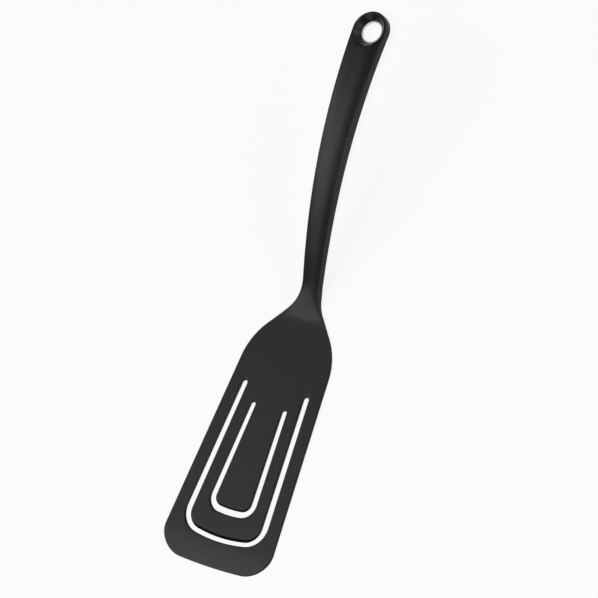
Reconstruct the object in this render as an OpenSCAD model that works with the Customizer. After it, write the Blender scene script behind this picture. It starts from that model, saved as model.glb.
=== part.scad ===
// Slotted kitchen turner: one black moulding with a flat blade, a rising neck
// and a crowned handle whose back is an open channel, and a pale eyelet ring
// that lines the hanging hole. The blade's underside lies on z = 0, the tip
// points along -X and the handle along +X.

/* [Blade] */
// Width of the blade across its widest place, behind the tip corners
blade_w = 76; // [66:0.5:90]
// Width of the blade where the shoulders start
blade_heel_w = 61.4; // [52:0.2:72]
// Length of the blade from the tip to the start of the shoulders
blade_l = 121; // [114:1:140]
// Thickness of the flat blade
blade_t = 1.6; // [1.4:0.1:2.4]
// Thickness of the front edge
tip_t = 0.5; // [0.4:0.1:1.2]
// Length of the ramp that thins the blade to its front edge
tip_ramp_l = 16.5; // [8:0.5:18]
// Radius of the two tip corners
tip_corner_r = 16.4; // [10:0.2:18]
// How far the front edge bulges forward of its ends
tip_bow = 2.1; // [0:0.1:3]
// Radius of the blade's top edges
blade_edge_r = 0.5; // [0.2:0.05:0.6]

/* [Shoulders and neck] */
// Radius of the rounded shoulder
shoulder_r = 39.4; // [32:0.2:46]
// Steepest angle of the shoulder to the long axis, degrees
shoulder_a = 40; // [36:0.5:44]
// Radius of the hollow between flank and neck
hollow_r = 25.5; // [20:0.5:32]
// Width of the neck, at its narrowest place
neck_w = 11.4; // [10:0.1:14]
// Distance from the start of the shoulders to where the top starts to rise
rise_gap = 22; // [19:0.5:26]
// Radius of the upward bend, seen from the side
bend_r = 65; // [50:1:80]
// Steepest slope of the neck, degrees
rise_a = 24; // [18:0.5:28]
// Length of the straight climb, along the long axis
climb_l = 24.5; // [14:0.5:34]

/* [Handle] */
// Distance from the neck to the centre of the hanging hole
handle_l = 142.5; // [125:0.5:165]
// Radius of the handle's round end
end_r = 11.2; // [10.4:0.1:13]
// How far each side of the handle bulges out of a straight taper, half way along
handle_bulge = 0.4; // [0:0.1:1]
// Height of the handle's side walls
side_h = 4.9; // [4:0.1:6]
// Slope of the crowned top where it meets the sides, degrees
crown_a = 22.5; // [16:0.5:26]
// Distance from where the top starts to rise to where the crown starts
crown_gap = 7; // [4:0.5:10]
// Length over which the crown grows to its full slope
crown_run = 16; // [12:0.5:20]
// Radius of the handle's top edges
edge_r = 1; // [0.5:0.1:1.3]
// Radius of the lower edges
foot_r = 0.3; // [0.2:0.05:0.6]
// Wall left above and beside the channel in the back
wall_t = 2.2; // [1.6:0.1:2.6]
// Distance from the neck to where the channel starts
channel_gap = 8; // [4:0.5:20]
// Length over which the channel deepens at its start
channel_run = 14; // [8:1:20]
// Draft of the channel's sides
channel_draft = 0.4; // [0.2:0.1:0.8]

/* [Slots] */
// Distance from the tip to the middle of the outer slot's cross run
outer_run_x = 16.4; // [15:0.2:20]
// Distance from the tip to the ends of the outer slot's arms
outer_end_x = 108.1; // [95:0.1:112]
// Distance of the outer arms from the long axis, at their ends
outer_arm_y = 21.7; // [20:0.1:23]
// Angle at which the outer arms spread toward the tip, degrees
outer_spread = 3.6; // [2:0.1:4]
// Width of the outer slot at its cross run
outer_run_w = 2.5; // [2:0.1:3.6]
// Width of the outer slot where its corners meet the arms
outer_corner_w = 4; // [3:0.1:4.4]
// Width of the outer slot at the ends of its arms
outer_arm_w = 3.4; // [2.4:0.1:4]
// Corner radius of the outer slot's middle line
outer_corner_r = 11.8; // [8:0.2:14]
// Radius of the outer slot's slightly bowed cross run
outer_bow_r = 93; // [60:1:150]
// Distance from the tip to the middle of the inner slot's cross run
inner_run_x = 32.9; // [31:0.1:38]
// Distance from the tip to the ends of the inner slot's arms
inner_end_x = 97.3; // [85:0.1:102]
// Distance of the inner arms from the long axis, at their ends
inner_arm_y = 11; // [10:0.1:12]
// Angle at which the inner arms spread toward the tip, degrees
inner_spread = 3.1; // [2:0.1:4]
// Width of the inner slot at its cross run
inner_run_w = 3.5; // [2.6:0.1:4.2]
// Width of the inner slot where its corners meet the arms
inner_corner_w = 3.6; // [2.6:0.1:4.2]
// Width of the inner slot at the ends of its arms
inner_arm_w = 3.1; // [2.2:0.1:3.8]
// Corner radius of the inner slot's middle line
inner_corner_r = 7.3; // [6:0.1:9]
// Radius of the inner slot's slightly bowed cross run
inner_bow_r = 63; // [40:1:120]

/* [Hanging hole and eyelet] */
// Inner radius of the eyelet ring, the clear hanging hole
eyelet_bore_r = 5.9; // [5:0.05:6.5]
// Wall of the eyelet ring
eyelet_wall = 0.7; // [0.5:0.05:1]
// Radial clearance between the ring and the handle
eyelet_gap = 0.03; // [0.02:0.01:0.1]
// Rounding of the ring's two rims
eyelet_rim_r = 0.25; // [0.1:0.05:0.25]
// Height of the ring
eyelet_h = 1.2; // [1:0.1:2]
// Radius of the flared mouth above the ring, level with the handle's top edges
mouth_r = 9.4; // [8.4:0.1:9.6]

/* [Hidden] */
// Names of all pieces; node picks one, or all

// Steps of the curved stretches
corner_steps = 9;
shoulder_steps = 8;
hollow_steps = 9;
handle_steps = 18;
slot_steps = 8;
$fn = 96;

// Half a turn and a quarter of a turn, in degrees
half_turn = 180;
quarter_turn = 90;

// Overrun of the cuts
over = 1;

// Half widths of the blade and the neck, and the angle of the blade's straight sides
tip_hw = blade_w / 2;
heel_hw = blade_heel_w / 2;
neck_hw = neck_w / 2;
taper_a = atan((tip_hw - heel_hw) / (blade_l - tip_corner_r));

// Shoulder, straight flank and hollow, as places and half widths along the length
shoulder_x = blade_l + shoulder_r * (sin(shoulder_a) - sin(taper_a));
shoulder_hw = heel_hw - shoulder_r * (cos(taper_a) - cos(shoulder_a));
flank_hw = neck_hw + hollow_r * (1 - cos(shoulder_a));
flank_x = shoulder_x + (shoulder_hw - flank_hw) / tan(shoulder_a);
neck_x = flank_x + hollow_r * sin(shoulder_a);
hole_x = neck_x + handle_l;
total_l = hole_x + end_r;

// Side view of the top: a bend, a straight climb, and a long arc that levels out at the hole
rise_x = blade_l + rise_gap;
bend_x = rise_x + bend_r * sin(rise_a);
climb_x = bend_x + climb_l;
level_r = (hole_x - climb_x) / sin(rise_a);
bend_z = blade_t + bend_r * (1 - cos(rise_a));
climb_z = bend_z + climb_l * tan(rise_a);
end_z = climb_z + level_r * (1 - cos(rise_a));

// A share held between 0 and 1, an eased step, and a blend of two values
function unit(s) = min(1, max(0, s));
function ease(s) = let (u = unit(s)) u * u * (3 - 2 * u);
function mix(a, b, s) = a + (b - a) * s;

// Slope and height of the top edges along the length
function slope(x) =
    x < rise_x ? 0
    : x < bend_x ? asin((x - rise_x) / bend_r)
    : x < climb_x ? rise_a
    : asin(unit((hole_x - x) / level_r));
function top_z(x) =
    x < rise_x ? mix(blade_t, tip_t, pow(unit(1 - x / tip_ramp_l), 2))
    : x < bend_x ? blade_t + bend_r * (1 - cos(slope(x)))
    : x < climb_x ? bend_z + (x - bend_x) * tan(rise_a)
    : end_z - level_r * (1 - cos(slope(x)));

// How far the plate has turned into the handle, from 0 at the bend to 1 past the neck
function handle_share(x) = ease((x - rise_x) / (neck_x - rise_x));
function foot_z(x) = max(0, top_z(x) - mix(blade_t, side_h, handle_share(x)) / cos(slope(x)));

// How much the full crown rises over a half width w, how much it does at x, and its height at y
// over the line where it meets the sides, when it is k high in the middle
function crown_h(w) = w * tan(crown_a) / 2;
function crown(x, w) = crown_h(w) * ease((x - rise_x - crown_gap) / crown_run);
function crown_z(y, w, k) = k * (1 - pow(y / w, 2));

// Half widths along the length, from the tip to the hole, as [place, half width]
side_shares = [0.25, 0.5, 0.75];
tip_part = [for (i = [0 : corner_steps]) let (a = quarter_turn * i / corner_steps)
    [tip_corner_r * (1 - cos(a)), tip_hw - tip_corner_r * (1 - sin(a))]];
side_part = [for (s = side_shares)
    [mix(tip_corner_r, blade_l, s), mix(tip_hw, heel_hw, s)]];
shoulder_part = [for (i = [0 : shoulder_steps]) let (a = mix(taper_a, shoulder_a, i / shoulder_steps))
    [blade_l + shoulder_r * (sin(a) - sin(taper_a)), heel_hw - shoulder_r * (cos(taper_a) - cos(a))]];
flank_part = [for (s = side_shares)
    [mix(shoulder_x, flank_x, s), mix(shoulder_hw, flank_hw, s)]];
hollow_part = [for (i = [0 : hollow_steps]) let (a = shoulder_a * (1 - i / hollow_steps))
    [neck_x - hollow_r * sin(a), neck_hw + hollow_r * (1 - cos(a))]];
handle_part = [for (i = [1 : handle_steps]) let (s = i / handle_steps)
    [mix(neck_x, hole_x, s), mix(neck_hw, end_r, s) + 4 * handle_bulge * s * (1 - s)]];
outline = concat(tip_part, side_part, shoulder_part, flank_part, hollow_part, handle_part);

// Half of a cross section as [y, z], from the middle of the back, out and up, to the middle of
// the top. The channel's points come first, and lie flat in the back where c is 0. The top edge
// is an arc of radius er that turns from the upright side into the crown, which falls away there
// at the angle b.
channel_points = 4;
edge_shares = [0, 0.5, 1];
crown_shares = [0.75, 0.5, 0.25, 0];
roof_share = 0.7;
lip_share = 0.6;
foot_share = 0.2;
function half_section(x, w, c) =
    let (
        zt = top_z(x), zb = foot_z(x), h = zt - zb, k = crown(x, w), b = atan(2 * k / w),
        er = min(mix(blade_edge_r, edge_r, handle_share(x)), h * lip_share),
        fr = min(foot_r, h * foot_share),
        ey = w - er, ez = zt + er * (tan(b) - 1 / cos(b)), e = ey + er * sin(b),
        cw = w - wall_t - channel_draft, ch = c * (h - wall_t)
    )
    concat(
        [for (y = [0, cw * roof_share]) [y, zb + ch + c * crown_z(y, w, k)]],
        [[cw, zb + ch * lip_share], [cw + channel_draft, zb], [w - fr, zb], [w, zb + fr]],
        [for (s = edge_shares) let (a = s * (quarter_turn - b)) [ey + er * cos(a), ez + er * sin(a)]],
        [for (s = crown_shares) [e * s, zt + crown_z(e * s, w, k)]]
    );

// A whole ring of the skin: the right half outward, then the left half back
function bow(x, y) = tip_bow * pow(y / tip_hw, 2) * unit(1 - x / tip_ramp_l);
function ring(x, w) =
    let (
        half = half_section(x, w, ease((x - neck_x - channel_gap) / channel_run)),
        top = len(half) - 1
    )
    [for (i = [0 : 2 * top - 1]) let (p = half[i <= top ? i : 2 * top - i])
        [x + bow(x, p[0]), (i <= top ? 1 : -1) * p[0], p[1]]];

// Faces between two neighbouring rings of n points, and over the tip, whose edge is curved
function band_faces(n, first) = [for (j = [0 : n - 1]) let (k = (j + 1) % n)
    each [[first + j, first + k, first + n + j], [first + k, first + n + k, first + n + j]]];
function tip_faces(n) = let (top = n / 2)
    [for (j = [0 : top / 2 - 1]) each [
        [j, top - j, j + 1],
        [j + 1, top - j, top - j - 1],
        [(n - j) % n, n - j - 1, top + j],
        [n - j - 1, top + j + 1, top + j]
    ]];
function drop_flat(faces) = [for (f = faces) if (f[0] != f[1] && f[1] != f[2] && f[2] != f[0]) f];

// Blade, neck and handle as one skin, closed at the tip and at the middle of the hole
module skin() {
    rings = [for (p = outline) ring(p[0], p[1])];
    n = len(rings[0]);
    last = (len(rings) - 1) * n;
    polyhedron(
        points = [for (r = rings) each r],
        faces = concat(
            drop_flat(tip_faces(n)),
            [for (i = [0 : len(rings) - 2]) each band_faces(n, i * n)],
            [[for (j = [0 : n - 1]) last + n - 1 - j]]
        )
    );
}

// The round end, turned from the handle's own last section, solid round the hole
end_foot_z = end_z - side_h;
end_top_z = end_z + crown_h(end_r);
module round_end() {
    section = half_section(hole_x, end_r, 0);
    flat_back = [for (i = [channel_points : len(section) - 1]) section[i]];
    translate([hole_x, 0, 0])
        rotate_extrude()
            polygon(concat([[0, end_foot_z]], flat_back));
}

// Seat of the ring and the flared mouth above it
seat_r = eyelet_bore_r + eyelet_wall + eyelet_gap;
ring_top_z = end_foot_z + eyelet_h;
flare = (mouth_r - seat_r) / (end_z - ring_top_z);
flare_h = end_top_z + over - ring_top_z;
module hole_cut() {
    translate([hole_x, 0, end_foot_z - over])
        cylinder(r = seat_r, h = end_top_z - end_foot_z + 2 * over);
    translate([hole_x, 0, ring_top_z])
        cylinder(r1 = seat_r, r2 = seat_r + flare * flare_h, h = flare_h);
}

// Points of an arc round a centre
function arc(c, r, from, to) = [for (i = [0 : slot_steps]) let (a = mix(from, to, i / slot_steps))
    [c[0] + r * cos(a), c[1] + r * sin(a)]];

// Place along the length of the centre of the corner that touches an arm and the bowed run from
// inside. The run lies at run_x, and the corner's centre is q - x * t from the long axis at x.
function corner_x(run_x, bow_r, r, q, t) =
    let (m = run_x + bow_r, a = 1 + t * t, b = -2 * (m + q * t), c = m * m + q * q - pow(bow_r - r, 2))
    (-b - sqrt(b * b - 4 * a * c)) / (2 * a);

// Upper half of one slot, from the middle of the run round the corner and up the arm and back
module slot_half(run_x, end_x, arm_y, spread, widths, r, bow_r) {
    run_w = widths[0];
    corner_w = widths[1];
    arm_w = widths[2];
    t = tan(spread);
    q = arm_y + end_x * t - r / cos(spread);
    x = corner_x(run_x, bow_r, r, q, t);
    corner = [x, q - x * t];
    m = [run_x + bow_r, 0];
    run_a = half_turn - atan(corner[1] / (m[0] - corner[0]));
    arm_a = quarter_turn - spread;
    arm_end = [end_x - arm_w / 2, arm_y];
    // Both sides of the run, and of the corner, whose width changes on its way round
    function run_side(k) = arc(m, bow_r + k * run_w / 2, half_turn, run_a);
    function corner_side(k) = [for (i = [0 : slot_steps]) let (
            s = i / slot_steps, a = mix(run_a, arm_a, s), d = r + k * mix(run_w, corner_w, s) / 2
        ) [corner[0] + d * cos(a), corner[1] + d * sin(a)]];
    outside = concat(run_side(1), corner_side(1));
    inside = concat(run_side(-1), corner_side(-1));
    polygon(concat(
        outside,
        arc(arm_end, arm_w / 2, arm_a, arm_a - half_turn),
        [for (i = [len(inside) - 1 : -1 : 0]) inside[i]]
    ));
}
module slot(run_x, end_x, arm_y, spread, widths, r, bow_r) {
    translate([0, 0, -over])
        linear_extrude(blade_t + 2 * over) {
            slot_half(run_x, end_x, arm_y, spread, widths, r, bow_r);
            mirror([0, 1])
                slot_half(run_x, end_x, arm_y, spread, widths, r, bow_r);
        }
}

// Everything is drawn from the tip and then set with the middle of its length on the origin
module centred() {
    translate([-total_l / 2, 0, 0])
        children();
}

// The moulding
module turner_body() {
    color("#2f3032")
        centred()
            difference() {
                union() {
                    skin();
                    round_end();
                }
                hole_cut();
                slot(outer_run_x, outer_end_x, outer_arm_y, outer_spread,
                    [outer_run_w, outer_corner_w, outer_arm_w], outer_corner_r, outer_bow_r);
                slot(inner_run_x, inner_end_x, inner_arm_y, inner_spread,
                    [inner_run_w, inner_corner_w, inner_arm_w], inner_corner_r, inner_bow_r);
            }
}

// The ring that lines the hanging hole, flush with the back
module hang_eyelet() {
    color("#d9dcdd")
        centred()
            translate([hole_x, 0, end_foot_z])
                difference() {
                    rotate_extrude()
                        translate([eyelet_bore_r, 0])
                            rim_section();
                    translate([0, 0, -over])
                        cylinder(r = eyelet_bore_r, h = eyelet_h + 2 * over);
                }
}
module rim_section() {
    r = eyelet_rim_r;
    w = eyelet_wall;
    polygon([[0, 0], [w - r, 0], [w, r], [w, eyelet_h - r], [w - r, eyelet_h], [0, eyelet_h]]);
}

turner_body();
hang_eyelet();
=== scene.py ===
# %% [markdown]
# # A slotted kitchen turner
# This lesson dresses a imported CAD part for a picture. The part is a kitchen turner: one black
# moulding with a flat slotted blade, a rising neck and a crowned handle, and a pale ring that
# lines its hanging hole. Every surface is worked out with numpy from the same named sizes as the
# CAD source, only with many more points, so that edges that the CAD keeps plain can be rounded.

# %% Load the frame
import math

import bmesh
import bpy
import numpy as np
from mathutils import Matrix, Vector, geometry


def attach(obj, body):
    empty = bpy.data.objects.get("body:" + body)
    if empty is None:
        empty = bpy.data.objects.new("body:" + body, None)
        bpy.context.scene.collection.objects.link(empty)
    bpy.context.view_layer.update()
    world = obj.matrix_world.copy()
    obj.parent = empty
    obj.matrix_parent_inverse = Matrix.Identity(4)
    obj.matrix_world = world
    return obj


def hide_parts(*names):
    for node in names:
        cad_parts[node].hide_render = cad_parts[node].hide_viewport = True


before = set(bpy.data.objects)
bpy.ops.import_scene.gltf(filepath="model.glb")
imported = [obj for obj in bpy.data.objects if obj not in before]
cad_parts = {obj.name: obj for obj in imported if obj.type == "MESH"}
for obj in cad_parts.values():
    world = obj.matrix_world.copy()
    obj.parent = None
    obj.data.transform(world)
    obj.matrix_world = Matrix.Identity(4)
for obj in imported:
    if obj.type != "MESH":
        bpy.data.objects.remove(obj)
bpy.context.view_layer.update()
mm_per_m = 1000
print("CAD nodes:", sorted(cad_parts))

# %% [markdown]
# ## Sizes
# The moulding is described in millimetres from the middle of the blade's front edge: x runs
# toward the handle, y to the left and z up. These are the values of the CAD source, kept by
# name, so the dressed piece lies on the solid that it stands for. It departs from it only by
# small roundings, by broader bevels on the slots, and by a softer start of the neck's rise.

# %% Named sizes, in millimetres and degrees
blade_w, blade_heel_w, blade_l = 76, 61.4, 121
blade_t, tip_t, tip_ramp_l = 1.6, 0.5, 16.5
tip_corner_r, tip_bow, blade_edge_r = 16.4, 2.1, 0.5
shoulder_r, shoulder_a, hollow_r, neck_w = 39.4, 40, 25.5, 11.4
rise_gap, bend_r, rise_a, climb_l = 22, 65, 24, 24.5
handle_l, end_r, handle_bulge = 142.5, 11.2, 0.4
side_h, crown_a, crown_gap, crown_run = 4.9, 22.5, 7, 16
edge_r, foot_r = 1, 0.3
wall_t, channel_gap, channel_run = 2.2, 8, 14
eyelet_bore_r, eyelet_wall, eyelet_gap = 5.9, 0.7, 0.03
eyelet_h, mouth_r = 1.2, 9.4

tip_hw, heel_hw, neck_hw = blade_w / 2, blade_heel_w / 2, neck_w / 2
taper = math.atan((tip_hw - heel_hw) / (blade_l - tip_corner_r))
steep, rise = math.radians(shoulder_a), math.radians(rise_a)
shoulder_x = blade_l + shoulder_r * (math.sin(steep) - math.sin(taper))
shoulder_hw = heel_hw - shoulder_r * (math.cos(taper) - math.cos(steep))
flank_hw = neck_hw + hollow_r * (1 - math.cos(steep))
flank_x = shoulder_x + (shoulder_hw - flank_hw) / math.tan(steep)
neck_x = flank_x + hollow_r * math.sin(steep)
hole_x = neck_x + handle_l
total_l = hole_x + end_r
print("neck, hole and end at", [round(v, 2) for v in (neck_x, hole_x, total_l)], "mm from the tip")

# %% [markdown]
# ## The side view
# Seen from the side the top runs flat, bends up at the neck, climbs straight and levels out in
# one long arc at the hole. It could be drawn as a Bezier curve, but circles and a line have exact
# heights and slopes at any x. The moulding starts to rise more softly than a circle does, so a
# shallow dip of 0.9 mm at most is taken off the bend and the start of the climb. The blade thins
# toward its front edge on a ramp that starts softly: its drop grows with the square of the way.

# %% Shares and blends
def unit(s):
    """A share held between 0 and 1."""
    return np.clip(s, 0, 1)


def ease(s):
    """An S-shaped step: u squared times (3 - 2 u), with u the share held between 0 and 1."""
    u = unit(s)
    return u * u * (3 - 2 * u)


def mix(a, b, s):
    """A blend: a plus the share s of the way to b."""
    return a + (b - a) * s


print("half way through a step:", ease(0.5), "and a tenth:", round(float(ease(0.1)), 3))

# %% Height of the top and of the foot along the length
soft_l, soft_h = 44, 0.9
rise_x = blade_l + rise_gap
bend_x = rise_x + bend_r * math.sin(rise)
climb_x = bend_x + climb_l
level_r = (hole_x - climb_x) / math.sin(rise)
bend_z = blade_t + bend_r * (1 - math.cos(rise))
end_z = bend_z + climb_l * math.tan(rise) + level_r * (1 - math.cos(rise))
end_foot_z = end_z - side_h


def slope(x):
    """Slope of the top: 0, then the bend's arcsine, the straight climb, the long arc's arcsine."""
    bend = np.arcsin(unit((x - rise_x) / bend_r))
    level = np.arcsin(unit((hole_x - x) / level_r))
    return np.where(x < rise_x, 0, np.where(x < bend_x, bend, np.where(x < climb_x, rise, level)))


def soft_start(x):
    """How far the rise lags behind its circle: soft_h times 16 s squared (1 - s) squared, with s
    the way along soft_l. The 16 makes soft_h its greatest value, half way."""
    s = unit((x - rise_x) / soft_l)
    return soft_h * 16 * s ** 2 * (1 - s) ** 2


def top_z(x):
    """Height of the top edges: the ramp, whose drop grows as a square, then circle, line, circle,
    less the soft start of the rise."""
    plate = mix(blade_t, tip_t, unit(1 - x / tip_ramp_l) ** 2)
    s = slope(x)
    bend = blade_t + bend_r * (1 - np.cos(s))
    climb = bend_z + (x - bend_x) * math.tan(rise)
    level = end_z - level_r * (1 - np.cos(s))
    rising = np.where(x < bend_x, bend, np.where(x < climb_x, climb, level))
    return np.where(x < rise_x, plate, rising) - soft_start(x)


def handle_share(x):
    """How far the plate has turned into the handle, eased from the bend to the neck."""
    return ease((x - rise_x) / (neck_x - rise_x))


def foot_z(x):
    """Height of the lower edges: the top less the wall height, measured square to the slope."""
    return np.maximum(0, top_z(x) - mix(blade_t, side_h, handle_share(x)) / np.cos(slope(x)))


print("front edge", round(float(top_z(np.array(0.0))), 2), "mm thick")
print("hole end", round(end_z, 2), "mm high")

# %% [markdown]
# ## The outline from above
# The outline is a chain of arcs and lines: a rounded tip corner, a side that tapers a little, a
# round shoulder, a hollow that runs into the neck, and the long handle that widens to its round
# end. A subdivided cage would only come near such a chain, so it is sampled densely and read back
# by interpolation, and any x has its half width.

# %% Half width along the length
quarter = math.pi / 2
corner_n, shoulder_n, hollow_n, handle_n = 40, 36, 40, 100
corner_a = np.linspace(0, quarter, corner_n)
shoulder_as = np.linspace(taper, steep, shoulder_n)
hollow_as = np.linspace(steep, 0, hollow_n)
along = np.linspace(0, 1, handle_n)[1:]
bulge = 4 * handle_bulge * along * (1 - along)
outline = np.concatenate([
    np.stack([tip_corner_r * (1 - np.cos(corner_a)),
              tip_hw - tip_corner_r * (1 - np.sin(corner_a))], 1),
    np.stack([blade_l + shoulder_r * (np.sin(shoulder_as) - math.sin(taper)),
              heel_hw - shoulder_r * (math.cos(taper) - np.cos(shoulder_as))], 1),
    np.stack([neck_x - hollow_r * np.sin(hollow_as),
              neck_hw + hollow_r * (1 - np.cos(hollow_as))], 1),
    np.stack([mix(neck_x, hole_x, along), mix(neck_hw, end_r, along) + bulge], 1),
])


def half_width(x):
    """Half width of the outline at x, read between its points."""
    return np.interp(x, outline[:, 0], outline[:, 1])


print(len(outline), "outline points, widest", 2 * outline[:, 1].max(), "mm")

# %% [markdown]
# ## The cross section
# A slice across the handle has a crowned top, rounded top edges, upright sides, small rounded
# feet and an open channel in its back. A curve with a bevel object could sweep one slice, but this
# one changes all the way. So half of the slice is one row of points, worked out for every x from
# the middle of the back to the middle of the top. On the blade the crown and the channel fade to
# nothing, and one function serves the whole length.

# %% Crown of the top
def crown_z(y, w, k):
    """Height of the crown over the top edges: k (1 - (y / w) squared)."""
    return k * (1 - (y / w) ** 2)


def crown_k(x, w):
    """Rise of the crown: half the half width times the tangent of its slope at the sides, eased
    in after the bend's start."""
    share = ease((x - rise_x - crown_gap) / crown_run)
    return share * w * math.tan(math.radians(crown_a)) / 2


print("crown at the hole:", round(float(crown_k(hole_x, end_r)), 2), "mm")

# %% Foot, side and top edge
foot_n, edge_n = 5, 9
foot_most, edge_most = 0.2, 0.45


def edge_radius(x):
    """Radius of the top edge, held to the share edge_most of the height there."""
    height = top_z(x) - foot_z(x)
    return np.minimum(mix(blade_edge_r, edge_r, handle_share(x)), edge_most * height)


def side_profile(x, w):
    """Foot, side and top edge as (inset from the outline, height). The foot is a quarter circle:
    f (1 - sin a) in and f (1 - cos a) up. The edge is an arc, r (1 - cos a) in and r sin a up,
    that stops where its slope is the crown's. A line joins them."""
    zt, zb, k = top_z(x)[:, None], foot_z(x)[:, None], crown_k(x, w)[:, None]
    lean = np.arctan(2 * k / w[:, None])
    r, f = edge_radius(x)[:, None], np.minimum(foot_r, foot_most * (zt - zb))
    foot_a = np.linspace(0, quarter, foot_n)[None]
    edge_a = np.linspace(0, 1, edge_n)[None] * (quarter - lean)
    centre_z = zt + r * (np.tan(lean) - 1 / np.cos(lean))
    inset = np.concatenate([f * (1 - np.sin(foot_a)), r * (1 - np.cos(edge_a))], 1)
    height = np.concatenate([zb + f * (1 - np.cos(foot_a)), centre_z + r * np.sin(edge_a)], 1)
    height[:, -1:] = zt + crown_z(w[:, None] - inset[:, -1:], w[:, None], k)
    return inset, height


print("top edge of the blade:", edge_radius(np.array([0.0, blade_l])).round(2).tolist(), "mm")

# %% Channel in the back
channel_n = 14


def channel_shares():
    """Places round the channel as (share of its width, share of its depth): the square roots of
    cos a and sin a, which make an oval with full corners."""
    a = quarter * (1 - np.linspace(0, 1, channel_n) ** 2)
    return np.abs(np.cos(a)) ** 0.5, np.abs(np.sin(a)) ** 0.5


def channel_share(x):
    """How deep the channel is, eased from its start over its run."""
    return ease((x - neck_x - channel_gap) / channel_run)


def channel_points(x, w, c):
    """The channel's half section: the oval's shares of the open width and of the depth, which
    follows the crown so that the wall over it stays even."""
    q, g = channel_shares()
    zb, k = foot_z(x)[:, None], crown_k(x, w)[:, None]
    depth = (top_z(x)[:, None] - zb - wall_t) * c[:, None]
    y = (w[:, None] - wall_t) * q[None]
    return y, zb + g[None] * (depth + c[:, None] * crown_z(y, w[:, None], k))


print("channel at full depth from", round(neck_x + channel_gap + channel_run, 1), "mm")

# %% Half a slice, for many places at once
crown_n = 12


def half_slices(x):
    """Rows of (y, z) for all the places in x: channel, foot, side, edge and crown."""
    w = half_width(x)
    inset, side_z = side_profile(x, w)
    channel_y, channel_z = channel_points(x, w, channel_share(x))
    last = w - inset[:, -1]
    crown_y = last[:, None] * np.linspace(1, 0, crown_n)[None, 1:]
    over = top_z(x)[:, None] + crown_z(crown_y, w[:, None], crown_k(x, w)[:, None])
    y = np.concatenate([channel_y, w[:, None] - inset, crown_y], 1)
    z = np.concatenate([channel_z, side_z, over], 1)
    return y, z


print("points round half a slice:", half_slices(np.array([hole_x]))[0].shape[1])

# %% [markdown]
# ## Strips, sheets and stitching
# A few helpers build every patch. A grid of points becomes a strip of quads. A flat region with
# holes becomes a sheet of triangles, through Blender's constrained triangulation, with its height
# read from a function. The holes could be cut with a Boolean modifier, but that leaves slivers
# along the cut, and they show in a soft shine. Here all patches share their border points, so
# merging doubles stitches them into one closed skin, whose open edges can be counted.

# %% Strips
patches = []


def strip(points, closed=False):
    """Quads over a grid of points (rows, columns, 3); closed joins the last row to the first."""
    rows, cols = points.shape[:2]
    i, j = np.meshgrid(np.arange(rows if closed else rows - 1), np.arange(cols - 1), indexing="ij")
    a, b = i * cols + j, ((i + 1) % rows) * cols + j
    faces = np.stack([a, b, b + 1, a + 1], -1).reshape(-1, 4)
    patches.append((points.reshape(-1, 3), faces.tolist()))


def lifted(xy, z):
    """Points (rows, columns, 3) from plan points and heights."""
    return np.concatenate([xy, z[..., None]], -1)


print("strips are ready")

# %% Which points lie where
block_n = 2000


def inside(points, loop):
    """Whether points lie in a closed loop: an odd number of its edges is crossed to one side."""
    a, b = loop, np.roll(loop, -1, 0)
    x, y = points[:, :1], points[:, 1:2]
    spans = (a[None, :, 1] > y) != (b[None, :, 1] > y)
    rise_y = np.where(b[:, 1] == a[:, 1], 1, b[:, 1] - a[:, 1])
    cross = a[None, :, 0] + (y - a[None, :, 1]) * ((b[:, 0] - a[:, 0]) / rise_y)[None]
    return ((spans & (x < cross)).sum(1) % 2) == 1


def away(points, loops, gap):
    """Whether points lie farther than gap from every loop point, in blocks to save memory."""
    rim = np.concatenate(loops)
    near = [np.hypot(*(block[:, None] - rim[None]).transpose(2, 0, 1)).min(1)
            for block in np.array_split(points, 1 + len(points) // block_n)]
    return np.concatenate(near) > gap


print("tests for places are ready")

# %% Sheets
clear_share, inside_only, snap = 0.55, 1, 1e-6


def sheet(outer, holes, height, step):
    """Triangles over a region: its loops, plus a grid of inner points, lifted to height(x, y).
    Grid points nearer to a loop than clear_share of a step are left out."""
    low, high = outer.min(0), outer.max(0)
    columns, rows = (np.arange(a + step / 2, b, step) for a, b in zip(low, high))
    grid = np.stack(np.meshgrid(columns, rows), -1).reshape(-1, 2)
    keep = inside(grid, outer) & away(grid, [outer] + holes, clear_share * step)
    for hole in holes:
        keep &= ~inside(grid, hole)
    points = np.concatenate([outer] + holes + [grid[keep]])
    edges, start = [], 0
    for loop in [outer] + holes:
        n = len(loop)
        edges += [(start + i, start + (i + 1) % n) for i in range(n)]
        start += n
    corners = [Vector(p) for p in points]
    found = geometry.delaunay_2d_cdt(corners, edges, [], inside_only, snap)
    flat, triangles = np.array([tuple(v) for v in found[0]]), np.array(found[2])
    centre = flat[triangles].mean(1)
    keep = inside(centre, outer)
    for hole in holes:
        keep &= ~inside(centre, hole)
    spot = np.concatenate([flat, height(flat[:, 0], flat[:, 1])[:, None]], 1)
    patches.append((spot, triangles[keep].tolist()))


print("sheets are ready")

# %% Paths
def resample(path, step, closed=False):
    """Points at even steps along a path, by interpolation over its running length."""
    ring = np.concatenate([path, path[:1]]) if closed else path
    run = np.concatenate([[0], np.cumsum(np.hypot(*np.diff(ring, axis=0).T))])
    n = max(2, int(round(run[-1] / step)))
    s = np.linspace(0, run[-1], n + 1)[:-1 if closed else None]
    return np.stack([np.interp(s, run, ring[:, 0]), np.interp(s, run, ring[:, 1])], 1)


def normals(path, closed=False):
    """Unit normals to the left of a path, from the difference of its neighbours."""
    if closed:
        step = np.roll(path, -1, 0) - np.roll(path, 1, 0)
    else:
        step = np.gradient(path, axis=0)
    step /= np.hypot(step[:, 0], step[:, 1])[:, None]
    return np.stack([-step[:, 1], step[:, 0]], 1)


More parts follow.
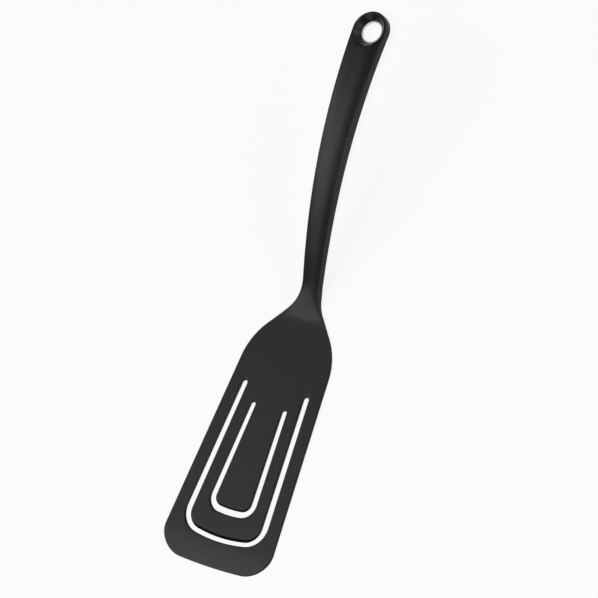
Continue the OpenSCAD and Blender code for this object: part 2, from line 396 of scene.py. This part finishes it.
def arc(centre, r, start, stop, n=40):
    """Points of an arc: the centre plus r times (cos, sin) of evenly spaced angles."""
    a = np.linspace(start, stop, n)
    return np.stack([centre[0] + r * np.cos(a), centre[1] + r * np.sin(a)], 1)


def across(x, half):
    """Plan points straight across the part at x, from a half row of y and its mirror image."""
    y = np.concatenate([half, -half[-2::-1]])
    return np.stack([np.full(len(y), x), y], 1)


print("paths are ready")

# %% [markdown]
# ## Handle and neck
# From the heel of the blade to just before the hanging hole the skin is a stack of slices. Each
# slice is mirrored to the other side in the array itself, which a Mirror modifier would do as
# well, and the slices are joined into one strip.

# %% Slices from the blade's heel to the hole
sheet_x, end_x = 114.0, hole_x - 17
slice_n = 230
stations = np.linspace(sheet_x, end_x, slice_n)
slice_y, slice_z = half_slices(stations)
whole_y = np.concatenate([slice_y, -slice_y[:, -2::-1]], 1)
whole_z = np.concatenate([slice_z, slice_z[:, -2::-1]], 1)
whole_x = np.broadcast_to(stations[:, None], whole_y.shape)
skin = np.stack([whole_x, whole_y, whole_z], -1)
strip(skin)
under_half, over_half = slice_y[:, channel_n - 1::-1], slice_y[:, channel_n + foot_n + edge_n:]
print(len(stations), "slices of", skin.shape[1], "points")

# %% [markdown]
# ## The blade
# The blade is a plate with a rounded rim. A Bevel modifier could round it, but the plate is too
# thin for that near its front edge. So the rim is the side profile carried along the outline,
# from one heel round the tip to the other heel, always square to the outline. The front edge
# bulges forward a little in the middle.

# %% Path of the blade's rim
rim_step, turn_l = 0.8, 20


def bowed(path):
    """The outline pushed back toward its ends: tip_bow (y / tip_hw) squared, fading up the ramp."""
    x, y = path[:, 0], path[:, 1]
    return np.stack([x + tip_bow * (y / tip_hw) ** 2 * unit(1 - x / tip_ramp_l), y], 1)


sheet_hw = float(half_width(sheet_x))
left = outline[outline[:, 0] <= tip_corner_r]
left = np.concatenate([[[0, 0]], left, [[sheet_x, sheet_hw]]])
left = left[np.argsort(left[:, 0], kind="stable")]
loop = np.concatenate([left[:0:-1] * [1, -1], left])
rim_path = bowed(resample(loop, rim_step))
rim_path[0], rim_path[-1] = [sheet_x, -sheet_hw], [sheet_x, sheet_hw]
print("rim of", len(rim_path), "steps")

# %% Rim of the blade
# Inward it faces square to its path, but turns to face straight across where the slices start.
# The blade has no crown, so the width that the profile is given has no effect here.
inward = -normals(rim_path)
square = np.stack([np.zeros(len(rim_path)), -np.sign(rim_path[:, 1])], 1)
inward = mix(inward, square, ease((rim_path[:, 0] - sheet_x + turn_l) / turn_l)[:, None])
inward /= np.hypot(inward[:, 0], inward[:, 1])[:, None]
inset, rim_z = side_profile(rim_path[:, 0], np.full(len(rim_path), tip_hw))
rim_xy = rim_path[:, None] + inward[:, None] * inset[..., None]
rim_z[:, -1] = top_z(rim_xy[:, -1, 0])
strip(lifted(rim_xy, rim_z))
print("rim heights from", rim_z.min(), "to", round(float(rim_z.max()), 2), "mm")

# %% [markdown]
# ## The slots
# Two U-shaped slots, one inside the other, go right through the blade. Each half is an arc for
# the run across the blade, an arc for the corner whose width changes on its way round, a straight
# arm and a round end. The rims of moulded slots are softly rounded, and these catch the dark and
# light of the room. So each slot wall is a profile carried along the slot's line, and no Bevel
# modifier is needed: a quarter oval at the top, the upright wall, and a smaller round at the
# back. On the handle's side of the runs the oval is broader and makes a bevel, most of all on the
# outer slot, where a wide dark line shows.

# %% Slot lines
slot_step, corner_turn_n = 0.5, 30


def slot_line(run_x, arm_end_x, arm_y, spread, run_w, corner_w, arm_w, corner_mid_r, bow_r):
    """Closed line of a slot: its outer bank, the arm's round end, its inner bank back, and the
    same mirrored. The corner's centre (x, y) lies on the line y = q - x t, so that the corner
    runs into the arm, and at bow_r - corner_mid_r from the run's own centre (m, 0), so that it
    runs into the bowed run. Together these give a quadratic in x."""
    lean = math.radians(spread)
    t = math.tan(lean)
    q, m = arm_y + arm_end_x * t - corner_mid_r / math.cos(lean), run_x + bow_r
    a, b, c = 1 + t * t, -2 * (m + q * t), m * m + q * q - (bow_r - corner_mid_r) ** 2
    x = (-b - math.sqrt(b * b - 4 * a * c)) / (2 * a)
    y = q - x * t
    run_a, arm_a = math.pi - math.atan(y / (m - x)), quarter - lean
    way = np.linspace(0, 1, corner_turn_n)[1:]
    angle = mix(run_a, arm_a, way)

    def bank(k):
        """One bank from the middle of the run round the corner: k is 1 outside, -1 inside."""
        wide = corner_mid_r + k * mix(run_w, corner_w, way) / 2
        corner = np.stack([x + wide * np.cos(angle), y + wide * np.sin(angle)], 1)
        return np.concatenate([arc((m, 0), bow_r + k * run_w / 2, math.pi, run_a), corner])

    cap = arc((arm_end_x - arm_w / 2, arm_y), arm_w / 2, arm_a, arm_a - math.pi)
    half = np.concatenate([bank(1), cap, bank(-1)[::-1]])
    return resample(np.concatenate([half, half[-2:0:-1] * [1, -1]]), slot_step, closed=True)


slots = {
    "outer": slot_line(run_x=16.4, arm_end_x=108.1, arm_y=21.7, spread=3.6, run_w=2.5,
                       corner_w=4, arm_w=3.4, corner_mid_r=11.8, bow_r=93),
    "inner": slot_line(run_x=32.9, arm_end_x=97.3, arm_y=11, spread=3.1, run_w=3.5,
                       corner_w=3.6, arm_w=3.1, corner_mid_r=7.3, bow_r=63),
}
print("slot lines of", [len(line) for line in slots.values()], "steps")

# %% Slot walls
# A rim oval reaches w (1 - sin a) into the plate and lies h (1 - cos a) under its top.
rim_w, rim_h, rim_back = 0.8, 0.6, 0.25
bevels = {"outer": (2.2, 1.1), "inner": (1.4, 1.0)}
upper_n, lower_n = 8, 5
upper_a, lower_a = np.linspace(0, quarter, upper_n)[None], np.linspace(0, quarter, lower_n)[None]
top_holes, back_holes = [], []
for name, line in slots.items():
    following = np.roll(line, -1, 0)
    area = 0.5 * (line[:, 0] * following[:, 1] - following[:, 0] * line[:, 1]).sum()
    out = -normals(line, closed=True) * np.sign(area)
    broad = np.maximum(0, out[:, :1]) ** 2
    bevel_w, bevel_h = bevels[name]
    upper_off = mix(rim_w, bevel_w, broad) * (1 - np.sin(upper_a))
    lower_off = np.tile(rim_back * (1 - np.cos(lower_a)), (len(line), 1))
    wall_xy = line[:, None] + out[:, None] * np.concatenate([upper_off, lower_off], 1)[..., None]
    upper_z = top_z(wall_xy[:, :upper_n, 0]) - mix(rim_h, bevel_h, broad) * (1 - np.cos(upper_a))
    lower_z = np.tile(rim_back * (1 - np.sin(lower_a)), (len(line), 1))
    strip(lifted(wall_xy, np.concatenate([upper_z, lower_z], 1)), closed=True)
    top_holes.append(wall_xy[:, 0])
    back_holes.append(wall_xy[:, -1])
    print(name, "slot: clear area", round(abs(area)), "mm2")

# %% [markdown]
# ## Top and back of the blade
# The plate between the rim and the slots is a flat region with two holes. Its top follows the
# ramp toward the front edge, and its back lies flat on the ground plane. Both are sheets, because
# a grid of quads would not meet the slots' curved rims.

# %% Blade sheets
blade_top_step, blade_back_step = 1.6, 3
top_outer = np.concatenate([rim_xy[:, -1], across(sheet_x, over_half[0])])
sheet(top_outer, top_holes, lambda x, y: top_z(x), blade_top_step)
back_outer = np.concatenate([rim_xy[:, 0], across(sheet_x, under_half[0])])
sheet(back_outer, back_holes, lambda x, y: 0 * x, blade_back_step)
print("top and back of the blade:", len(patches[-2][1]), "and", len(patches[-1][1]), "triangles")

# %% [markdown]
# ## The round end and its hole
# The side profile runs on round the end, square to the half circle. The crown there is a turned
# surface about the hole. The hole's mouth is a flared cone whose rim is rounded. A cone cut with a
# Boolean and then bevelled would do for a flat top, but the crown is higher toward the handle than
# toward the end. So a Bezier curve leads from the cone over the corner to the crown, and it is
# worked out for every angle.

# %% Sides of the end
fan_n, side_step = 72, 1.0
side_x = np.arange(end_x + side_step, hole_x - side_step / 2, side_step)
side_x = np.concatenate([[end_x], side_x])
fan = np.linspace(-quarter, quarter, fan_n)
side_w = half_width(side_x)
end_path = np.concatenate([
    np.stack([side_x, -side_w], 1), arc((hole_x, 0), end_r, -quarter, quarter, fan_n),
    np.stack([side_x, side_w], 1)[::-1]])
facing = np.concatenate([
    np.tile([0, 1.0], (len(side_x), 1)), -np.stack([np.cos(fan), np.sin(fan)], 1),
    np.tile([0, -1.0], (len(side_x), 1))])
at_x = np.concatenate([side_x, np.full(fan_n, hole_x), side_x[::-1]])
inset, end_side_z = side_profile(at_x, half_width(at_x))
end_xy = end_path[:, None] + facing[:, None] * inset[..., None]


def end_top(x, y):
    """Crown near the end: the handle's own up to the hole, then the same turned about the hole."""
    near = np.minimum(x, hole_x)
    r = np.where(x > hole_x, np.hypot(x - hole_x, y), np.abs(y))
    w = half_width(near)
    return top_z(near) + crown_z(r, w, crown_k(near, w))


def end_foot(x):
    """Height of the back near the end: the handle's own up to the hole, then level."""
    return foot_z(np.minimum(x, hole_x))


end_side_z[:, -1] = end_top(end_xy[:, -1, 0], end_xy[:, -1, 1])
strip(lifted(end_xy, end_side_z))
print("sides of the end:", len(end_path), "steps")

# %% Where the flare meets the crown
# The radius sets the crown's height and the height sets the cone's radius, so the two are worked
# out in turn until they settle.
seat_r = eyelet_bore_r + eyelet_wall + eyelet_gap
ring_top_z = end_foot_z + eyelet_h
flare = (mouth_r - seat_r) / (end_z - ring_top_z)
turn_n, settle_n = 120, 40
turn = np.linspace(0, 2 * math.pi, turn_n, endpoint=False)
ray = np.stack([np.cos(turn), np.sin(turn)], 1)


def on_ray(r):
    """Plan points at the radius r on every ray from the hole's axis."""
    return np.array([hole_x, 0]) + ray * r[:, None]


corner_r = np.full(turn_n, mouth_r)
for _ in range(settle_n):
    corner_r = seat_r + flare * (end_top(*on_ray(corner_r).T) - ring_top_z)
corner_z = ring_top_z + (corner_r - seat_r) / flare
print("mouth radius from", round(corner_r.min(), 2), "to", round(corner_r.max(), 2), "mm")

# %% Mouth and seat of the hole
# The rounded rim is (1 - t) squared of its start, 2 t (1 - t) of the corner and t squared of its
# stop, which lies lip down the cone. The start lies lip_out outside the corner, on the crown.
lip, lip_out, seat_lip = 1.1, 0.5, 0.2
round_n, cone_n, seat_n = 9, 6, 4
start_r = corner_r + lip_out
start_z = end_top(*on_ray(start_r).T)
cone_l = math.hypot(1, flare)
stop_r, stop_z = corner_r - lip * flare / cone_l, corner_z - lip / cone_l
t = np.linspace(0, 1, round_n)[None]
bezier = [(1 - t) ** 2, 2 * t * (1 - t), t ** 2]
round_r = sum(k * v[:, None] for k, v in zip(bezier, (start_r, corner_r, stop_r)))
round_z = sum(k * v[:, None] for k, v in zip(bezier, (start_z, corner_z, stop_z)))
down = np.linspace(0, 1, cone_n)[None, 1:]
cone_r, cone_z = mix(stop_r[:, None], seat_r, down), mix(stop_z[:, None], ring_top_z, down)
a = np.linspace(0, quarter, seat_n)[None]
foot_at = end_foot(on_ray(np.full(turn_n, seat_r))[:, 0])[:, None]
seat_rs = np.tile(seat_r + seat_lip * (1 - np.cos(a)), (turn_n, 1))
seat_zs = foot_at + seat_lip * (1 - np.sin(a))
mouth_rs = np.concatenate([round_r, cone_r, seat_rs], 1)
mouth_zs = np.concatenate([round_z, cone_z, seat_zs], 1)
mouth_xy = np.array([hole_x, 0]) + ray[:, None] * mouth_rs[..., None]
mouth_zs[:, -1] = end_foot(mouth_xy[:, -1, 0])
strip(lifted(mouth_xy, mouth_zs), closed=True)
print("mouth and seat:", turn_n, "rays of", mouth_rs.shape[1], "points")

# %% [markdown]
# ## Channel end, crown and back
# The channel stops at a round wall, concentric with the hole, so that the ring sits in a full
# boss. Then two more sheets close the skin: the crown above, with the mouth as its hole, and the
# back below, whose border follows the channel's edge.

# %% Channel end and boss wall
# The wall stands where the channel's half width y has x = hole_x - root of (end_r squared less y
# squared). The half width itself depends a little on x, so this too is worked out in turn.
boss_settle_n, stretch_n, fall_n = 8, 7, 5
q, g = channel_shares()
q, g = np.concatenate([q[::-1], -q[1:]]), np.concatenate([g[::-1], g[1:]])
stop_x = np.full(len(q), hole_x - end_r)
for _ in range(boss_settle_n):
    stop_x = hole_x - np.sqrt(end_r ** 2 - ((half_width(stop_x) - wall_t) * q) ** 2)
stretch_x = mix(end_x, stop_x[None], np.linspace(0, 1, stretch_n)[:, None])
stretch_w = half_width(stretch_x)
stretch_y = (stretch_w - wall_t) * q[None]
crowned = crown_z(stretch_y, stretch_w, crown_k(stretch_x, stretch_w))
deep = top_z(stretch_x) - foot_z(stretch_x) - wall_t + crowned
stretch_z = foot_z(stretch_x) + g[None] * deep
strip(np.stack([stretch_x, stretch_y, stretch_z], -1))
fall = np.linspace(0, 1, fall_n)[:, None]
boss_z = mix(stretch_z[-1][None], foot_z(stretch_x[-1])[None], fall)
boss_x, boss_y = (np.broadcast_to(row[-1], boss_z.shape) for row in (stretch_x, stretch_y))
strip(np.stack([boss_x, boss_y, boss_z], -1))
print("channel ends at", round(float(stop_x.min()), 2), "mm")

# %% Sheets of the end
end_top_step, end_back_step = 0.8, 1.2
top_outer = np.concatenate([end_xy[:, -1], across(end_x, over_half[-1])])
sheet(top_outer, [mouth_xy[:, 0]], end_top, end_top_step)
right_lip = np.stack([stretch_x[:, 0], stretch_y[:, 0]], 1)
left_lip = np.stack([stretch_x[:, -1], stretch_y[:, -1]], 1)[::-1]
boss = np.stack([stretch_x[-1], stretch_y[-1]], 1)[1:-1]
back_outer = np.concatenate([end_xy[:, 0], right_lip, boss, left_lip])
sheet(back_outer, [mouth_xy[:, -1]], lambda x, y: end_foot(x), end_back_step)
print("crown and back of the end:", len(patches[-2][1]), "and", len(patches[-1][1]), "triangles")

# %% [markdown]
# ## One closed skin
# The patches go into one mesh, are stitched by merging doubles, and get their normals from the
# closed shape. Real corners, such as the boss wall's, stay sharp by their angle. A weighted
# normal modifier lets the large flat faces keep a flat shine next to the small rounded ones,
# which more points alone would not do.

# %% A stitched object
weld_m, sharp_a = 2e-6, math.radians(40)


def mesh_object(name, points, faces):
    """An object from points in millimetres, centred on the part's length, with smooth shading."""
    mesh = bpy.data.meshes.new(name)
    place = (np.asarray(points) - [total_l / 2, 0, 0]) / mm_per_m
    mesh.from_pydata(place.tolist(), [], faces)
    bm = bmesh.new()
    bm.from_mesh(mesh)
    bmesh.ops.remove_doubles(bm, verts=bm.verts, dist=weld_m)
    bmesh.ops.recalc_face_normals(bm, faces=bm.faces)
    if bm.calc_volume(signed=True) < 0:
        bmesh.ops.reverse_faces(bm, faces=bm.faces)
    loose = sum(len(e.link_faces) != 2 for e in bm.edges)
    volume = bm.calc_volume() * mm_per_m ** 3
    print(name, "volume", round(volume, 1), "mm3, open or shared edges", loose)
    bm.to_mesh(mesh)
    bm.free()
    mesh.shade_smooth()
    mesh.set_sharp_from_angle(angle=sharp_a)
    made = bpy.data.objects.new(name, mesh)
    bpy.context.scene.collection.objects.link(made)
    weigh = made.modifiers.new("weighted normals", "WEIGHTED_NORMAL")
    weigh.keep_sharp = True
    return made


print("points closer than", weld_m * mm_per_m, "mm will be merged")

# %% Stitch the moulding
all_points, all_faces, start = [], [], 0
for points, faces in patches:
    all_points.append(points)
    all_faces += [[start + i for i in f] for f in faces]
    start += len(points)
moulding = mesh_object("turner_moulding", np.concatenate(all_points), all_faces)
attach(moulding, "root")
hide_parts("turner_body")
print("moulding:", len(moulding.data.polygons), "faces")

# %% [markdown]
# Along the runs that go across the blade the slots' rims and walls lie in shade and look darker
# and duller than the rest, and along the arms they don't. That shade is painted: a dark dull
# shader is blended in for the nylon there. Separate faces with their own material would end in
# a hard line, so a number on every point says how far it belongs to a run's wall and gets the
# painted shade: it grows with the depth under the top, and with how squarely the wall faces
# along the blade.

# %% Mark the runs' walls, which get painted shade
# The field holds the runs of both slots, but neither the blade's rim nor its back.
field_start, field_stop, field_hw, field_floor = 10, 60, 30, 0.01
full_depth, shown_from, tiny = 0.1, 0.05, 1e-6
mesh = moulding.data
spots, turned_to = np.zeros(3 * len(mesh.vertices)), np.zeros(3 * len(mesh.vertices))
mesh.vertices.foreach_get("co", spots)
mesh.vertex_normals.foreach_get("vector", turned_to)
spot_x, spot_y, spot_z = (spots.reshape(-1, 3) * mm_per_m + [total_l / 2, 0, 0]).T
to_x, to_y, _ = turned_to.reshape(-1, 3).T
in_field = (spot_x > field_start) & (spot_x < field_stop)
in_field &= (np.abs(spot_y) < field_hw) & (spot_z > field_floor)
along_blade = to_x ** 2 / np.maximum(to_x ** 2 + to_y ** 2, tiny)
# Each point's share of the painted shade inside the runs.
run_wall_shade = unit((top_z(spot_x) - spot_z) / full_depth) * along_blade * in_field
marks = mesh.attributes.new("run_wall_shade", "FLOAT", "POINT")
marks.data.foreach_set("value", run_wall_shade.astype(np.float32))
print("points in the runs' walls:", int((run_wall_shade > shown_from).sum()))

# %% [markdown]
# ## The eyelet ring
# A short pale ring lines the hole at the back. A tube with a Bevel modifier would do, and so
# would a Screw modifier on a profile. It is a turned piece like the mouth, though, so the same
# strip makes it: a small closed profile with rounded rims, carried round the hole's axis.

# %% Turn the ring
ring_round, ring_corner_n = 0.22, 7
inner, outer = ring_round, eyelet_wall - ring_round
low, high = ring_round, eyelet_h - ring_round
corners = [(outer, low, -quarter), (outer, high, 0), (inner, high, quarter), (inner, low, math.pi)]
profile = np.concatenate([arc((x, z), ring_round, a, a + quarter, ring_corner_n)
                          for x, z, a in corners])
profile = np.concatenate([profile, profile[:1]])
ring_r = eyelet_bore_r + profile[:, 0]
ring_xy = np.array([hole_x, 0]) + ray[:, None] * ring_r[None, :, None]
ring_z = np.broadcast_to(end_foot_z + profile[:, 1], ring_xy.shape[:2])
patches.clear()
strip(lifted(ring_xy, ring_z), closed=True)
ring = mesh_object("hanging_hole_ring", *patches[0])
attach(ring, "root")
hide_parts("hang_eyelet")
print("ring:", len(ring.data.polygons), "faces")

# %% [markdown]
# ## Shader sums
# A material's numbers are nodes joined by links, and a sum reads badly as a list of them. This
# small class wraps a socket, so that an expression such as 0.3 + 0.1 * mask adds its own Math
# nodes. Every other node comes from its method make.

# %% A socket that can be reckoned with
class Socket:
    """A socket of a node tree; arithmetic on it adds Math nodes."""

    def __init__(self, tree, socket=None):
        self.tree, self.socket = tree, socket

    def make(self, kind, outlet=0, settings=(), **inputs):
        """Adds a node of a kind, sets its settings, then its inputs, each a value or a link. An
        input goes by its name, with _ for a space, or by its number as i0, i1 and so on."""
        node = self.tree.nodes.new(kind)
        for name, value in dict(settings).items():
            setattr(node, name, value)
        for name, value in inputs.items():
            numbered = name[0] == "i" and name[1:].isdigit()
            target = node.inputs[int(name[1:]) if numbered else name.replace("_", " ")]
            if isinstance(value, Socket):
                value.feed(target)
            else:
                target.default_value = value
        return Socket(self.tree, node.outputs[outlet])

    def feed(self, target):
        """Links this socket to an input of a node."""
        self.tree.links.new(self.socket, target)

    def sum(self, operation, *values):
        """Adds a Math node of an operation, on sockets and numbers."""
        numbered = {f"i{i}": value for i, value in enumerate(values)}
        return self.make("ShaderNodeMath", 0, {"operation": operation}, **numbered)

    def __add__(self, other):
        return self.sum("ADD", self, other)

    def __mul__(self, other):
        return self.sum("MULTIPLY", self, other)

    __radd__, __rmul__ = __add__, __mul__


print("shader sums are ready")

# %% Materials, noise and colour
def material(name):
    """A new material: itself, its Principled shader and a socket with its Object coordinates."""
    made = bpy.data.materials.new(name)
    made.use_nodes = True
    place = Socket(made.node_tree).make("ShaderNodeTexCoord", "Object")
    return made, made.node_tree.nodes["Principled BSDF"], place


def show(shown):
    """Makes a shader's socket the surface of its material."""
    shown.feed(shown.tree.nodes["Material Output"].inputs["Surface"])


def noise(place, scale, detail=2.0, rough=0.5):
    """Fractal noise from 0 to 1 at a scale in lumps per metre."""
    return place.make("ShaderNodeTexNoise", "Fac", Vector=place, Scale=scale, Detail=detail,
                      Roughness=rough)


def blend_colour(mask, a, b):
    """A colour from a to b by a mask."""
    return mask.make("ShaderNodeMix", "Result", {"data_type": "RGBA"}, Factor=mask,
                     A=(*a, 1), B=(*b, 1))


print("helpers for materials are ready")

# %% [markdown]
# ## Matt black nylon
# The mould's walls are finely eroded, so the plastic has an even grain, finer than a third of a
# millimetre, that spreads every reflection. The black is neutral. Over centimetres the shine
# drifts a little where the melt flowed and shrank, and use leaves faint rubbed patches. A picture
# of plastic would repeat or stretch, so all of this is noise on the Object coordinates: it has
# the right scale everywhere, and no seams. Where the runs' walls are marked, a plain dark dull
# shader takes over: it is painted shade, for the shade that falls inside the slots.

# %% Body material
nylon, shader, place = material("matt_black_nylon")
drift = noise(place, scale=26, detail=3)
rubbed = noise(place, scale=120, detail=4, rough=0.6)
grain = noise(place, scale=3800, detail=2, rough=0.65)
pits = noise(place, scale=1500, detail=1)
deep_black, worn_black = (0.0076, 0.0075, 0.0076), (0.0097, 0.0096, 0.0098)
blend_colour(drift, deep_black, worn_black).feed(shader.inputs["Base Color"])
(0.265 + 0.09 * drift + 0.08 * rubbed).feed(shader.inputs["Roughness"])
height = 0.6 * grain + 0.4 * pits
bump = place.make("ShaderNodeBump", "Normal", Strength=0.35, Distance=0.00006, Height=height)
wave = place.make("ShaderNodeBump", "Normal", Strength=0.3, Distance=0.0006, Height=drift,
                  Normal=bump)
wave.feed(shader.inputs["Normal"])
shader.inputs["IOR"].default_value = 1.5
shader.inputs["Specular IOR Level"].default_value = 0.28
moulding.data.materials.append(nylon)
print("nylon:", len(place.tree.nodes), "nodes")

# %% Painted shade on the runs' walls
wall = place.make("ShaderNodeAttribute", "Fac", {"attribute_name": "run_wall_shade"})
# A near-black diffuse shader paints the shade that falls inside the runs' walls.
painted_shade = place.make("ShaderNodeBsdfDiffuse", "BSDF", Color=(0.005, 0.005, 0.005, 1))
nylon_shine = Socket(place.tree, shader.outputs["BSDF"])
show(place.make("ShaderNodeMixShader", "Shader", i0=wall, i1=nylon_shine, i2=painted_shade))
print("nylon with dull walls:", len(place.tree.nodes), "nodes")

# %% [markdown]
# ## Pale ring plastic
# The ring is a smooth, nearly white plastic, a little cool, with a faint cloud in its colour and
# shine. One noise drives both, as the same flow marks would on the real ring.

# %% Ring material
pale, shader, place = material("pale_ring_plastic")
cloud = noise(place, scale=300, detail=2)
grey_white, clear_white = (0.80, 0.84, 0.84), (0.86, 0.88, 0.88)
blend_colour(cloud, grey_white, clear_white).feed(shader.inputs["Base Color"])
(0.28 + 0.08 * cloud).feed(shader.inputs["Roughness"])
fine = noise(place, scale=2500, detail=2)
bump = place.make("ShaderNodeBump", "Normal", Strength=0.15, Distance=0.00003, Height=fine)
bump.feed(shader.inputs["Normal"])
ring.data.materials.append(pale)
print("ring plastic:", len(place.tree.nodes), "nodes")

# %% [markdown]
# ## Floor, world and lamps
# The turner lies on a white floor. Lamps strong enough to burn the floor out would wash out the
# black as well. So for rays that come straight from the camera the floor and the world show
# nearly white by themselves, and the rest of the floor's colour, which the lamps light, keeps the
# soft shadow. Only camera rays see that white: a shiny ray that saw it too would put a pale glow
# on the black walls of the slots, and nothing here is metal or glass, which would need it.

# %% Floor
reach, under_part, white_share = 6.0, 0.00005, 0.85
floor_mesh = bpy.data.meshes.new("floor")
floor_corners = [(-reach, -reach, 0), (reach, -reach, 0), (reach, reach, 0), (-reach, reach, 0)]
floor_mesh.from_pydata(floor_corners, [], [(0, 1, 2, 3)])
floor = bpy.data.objects.new("floor", floor_mesh)
bpy.context.scene.collection.objects.link(floor)
floor.location.z = -under_part
paper, shader, place = material("white_floor")
shader.inputs["Base Color"].default_value = (0.9, 0.9, 0.9, 1)
shader.inputs["Roughness"].default_value = 0.9
seen = place.make("ShaderNodeLightPath", "Is Camera Ray")
glow = place.make("ShaderNodeEmission", "Emission", Color=(1, 1, 1, 1), Strength=1.0)
lit = Socket(place.tree, shader.outputs["BSDF"])
show(place.make("ShaderNodeMixShader", "Shader", i0=seen * white_share, i1=lit, i2=glow))
floor_mesh.materials.append(paper)
print("floor is ready")

# %% World
ambient = 0.03
world = bpy.data.worlds.new("studio")
bpy.context.scene.world = world
world.use_nodes = True
room = world.node_tree.nodes["Background"]
room.inputs["Color"].default_value = (1, 1, 1, 1)
seen = Socket(world.node_tree).make("ShaderNodeLightPath", "Is Camera Ray")
(ambient + (1 - ambient) * seen).feed(room.inputs["Strength"])
print("world is ready")

# %% [markdown]
# A studio lights such a part through large cloths, which a matt black surface shows as broad soft
# sheens. One big lamp would light all its slopes alike. Here every square lamp stands for one
# patch of the cloths, and their powers were chosen together, so that each slope of the turner
# gets its own tone. The last one is small and makes the narrow soft shadow.

# %% Lamps
def softbox(name, azimuth, height, power, size=1.0, distance=2.2):
    """A square lamp that faces the part, its size and distance in metres. From the part it is
    seen at an azimuth, counted from the handle's direction to the left, and at a height over the
    floor, both in degrees: it stands at distance (cos a cos h, sin a cos h, sin h)."""
    a, e = math.radians(azimuth), math.radians(height)
    place = distance * Vector((math.cos(a) * math.cos(e), math.sin(a) * math.cos(e), math.sin(e)))
    lamp = bpy.data.lights.new(name, "AREA")
    lamp.shape, lamp.size, lamp.energy = "SQUARE", size, power
    made = bpy.data.objects.new(name, lamp)
    made.location = place
    made.rotation_euler = (-place).to_track_quat("-Z", "Y").to_euler()
    bpy.context.scene.collection.objects.link(made)


lamps = {  # azimuth, height, power, and where they aren't the usual ones size and distance
    "key": (106, 52, 3.3, 0.7),
    "tip_key": (127, 52, 2.3, 0.7),
    "side_key": (150, 52, 1.3, 0.7),
    "high_key": (120, 68, 4.7, 0.8),
    "high_far": (75, 68, 1.6, 0.8),
    "handle_far": (60, 52, 0.95, 0.7),
    "middle_key": (109, 36, 3.0, 0.7),
    "middle_far": (92, 36, 2.9, 0.7),
    "low_far": (90, 20, 2.5, 0.7),
    "tip_side": (180, 20, 9.1),
    "near_side": (270, 20, 7.8),
    "handle_side": (315, 20, 10.2),
    "handle_end": (0, 20, 5.4),
    "flash": (250, 58.9, 12, 0.06, 2.004),
}
for name, values in lamps.items():
    softbox(name, *values)
print(len(lamps), "lamps")

# %% [markdown]
# ## Camera
# The photograph looks down on the turner at 55 degrees from its right side, from far away with a
# long lens, and the picture is turned so that the handle points up. The axes were solved from
# the photograph's outline together with the part's sizes. A Track To constraint could aim the
# camera, but it couldn't turn the picture.

# %% Camera
sensor_mm, focal_px, frame_px, far_clip = 36, 3500, 598, 50
camera_data = bpy.data.cameras.new("camera")
camera_data.sensor_width = sensor_mm
camera_data.lens = sensor_mm * focal_px / frame_px
camera_data.clip_end = far_clip
camera = bpy.data.objects.new("camera", camera_data)
right = (0.35353876, -0.80488705, -0.47662059)
up = (0.92340674, 0.21890077, 0.31528154)
behind = (-0.14943341, -0.5515789, 0.82062803)
station = (-0.30006679, -1.09583861, 1.64252636)
turned = Matrix((right, up, behind)).transposed().to_4x4()
camera.matrix_world = Matrix.Translation(station) @ turned
bpy.context.scene.collection.objects.link(camera)
bpy.context.scene.camera = camera
bpy.context.scene.view_settings.view_transform = "Standard"
print("lens", round(camera_data.lens, 1), "mm")

# %% [markdown]
# ## Finish

# %% Finish
bpy.context.view_layer.update()
